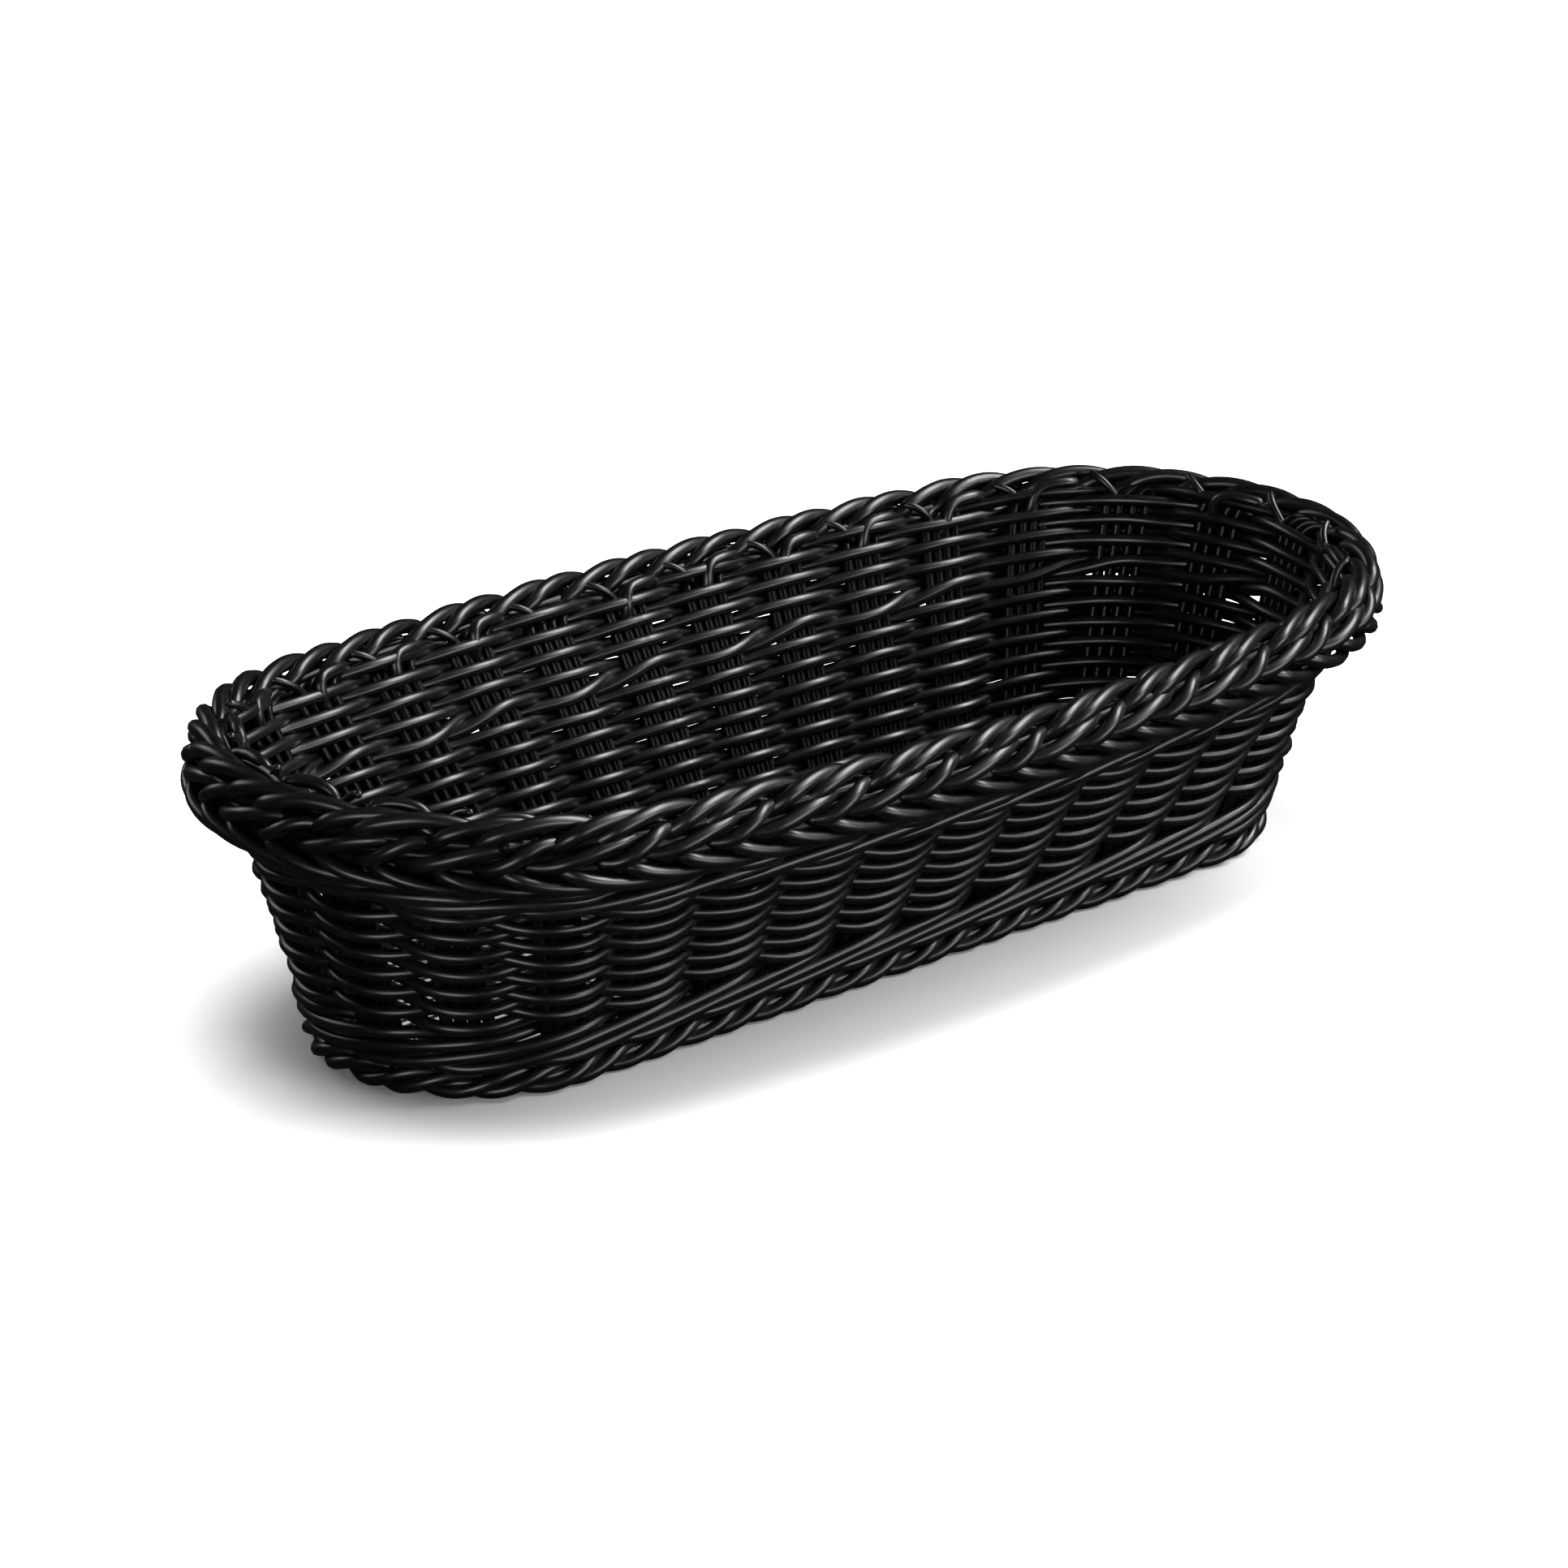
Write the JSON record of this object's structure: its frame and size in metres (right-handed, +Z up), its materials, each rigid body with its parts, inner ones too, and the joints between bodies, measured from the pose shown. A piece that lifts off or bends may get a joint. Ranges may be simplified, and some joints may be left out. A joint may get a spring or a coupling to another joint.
{
  "type": "bread basket",
  "caption": "Long oval woven bread basket with flared sides on flat stakes, a rope foot border and a thick plaited rim.",
  "frame": {"origin": "centre of the foot, on the table", "axes": "+X along the basket, +Y across it, +Z up"},
  "size_m": [0.4, 0.188, 0.088],
  "materials": {
    "woven_rod": "satin black round plastic rattan rods"
  },
  "bodies": {
    "root": {"foot_border": "woven_rod", "base_cross_sticks": "woven_rod", "base_long_rods": "woven_rod", "side_stake_01": "woven_rod", "side_stake_02": "woven_rod", "side_stake_03": "woven_rod", "side_stake_04": "woven_rod", "side_stake_05": "woven_rod", "side_stake_06": "woven_rod", "side_stake_07": "woven_rod", "side_stake_08": "woven_rod", "side_stake_09": "woven_rod", "side_stake_10": "woven_rod", "side_stake_11": "woven_rod", "side_stake_12": "woven_rod", "side_stake_13": "woven_rod", "side_stake_14": "woven_rod", "side_stake_15": "woven_rod", "side_stake_16": "woven_rod", "side_stake_17": "woven_rod", "side_stake_18": "woven_rod", "side_stake_19": "woven_rod", "side_stake_20": "woven_rod", "side_stake_21": "woven_rod", "side_stake_22": "woven_rod", "side_stake_23": "woven_rod", "side_stake_24": "woven_rod", "side_stake_25": "woven_rod", "side_stake_26": "woven_rod", "side_stake_27": "woven_rod", "side_stake_28": "woven_rod", "side_stake_29": "woven_rod", "side_stake_30": "woven_rod", "bottom_wale_1": "woven_rod", "bottom_wale_2": "woven_rod", "bottom_wale_3": "woven_rod", "bottom_wale_4": "woven_rod", "weaver_row_01": "woven_rod", "weaver_row_02": "woven_rod", "weaver_row_03": "woven_rod", "weaver_row_04": "woven_rod", "weaver_row_05": "woven_rod", "weaver_row_06": "woven_rod", "weaver_row_07": "woven_rod", "weaver_row_08": "woven_rod", "weaver_row_09": "woven_rod", "weaver_row_10": "woven_rod", "weaver_row_11": "woven_rod", "weaver_row_12": "woven_rod", "weaver_row_13": "woven_rod", "top_wale_1": "woven_rod", "top_wale_2": "woven_rod", "weaver_row_14": "woven_rod", "weaver_row_15": "woven_rod", "weaver_row_16": "woven_rod", "weaver_row_17": "woven_rod", "rim_plait_inner": "woven_rod", "rim_plait_middle": "woven_rod", "rim_plait_outer": "woven_rod"}
  },
  "joints": []
}
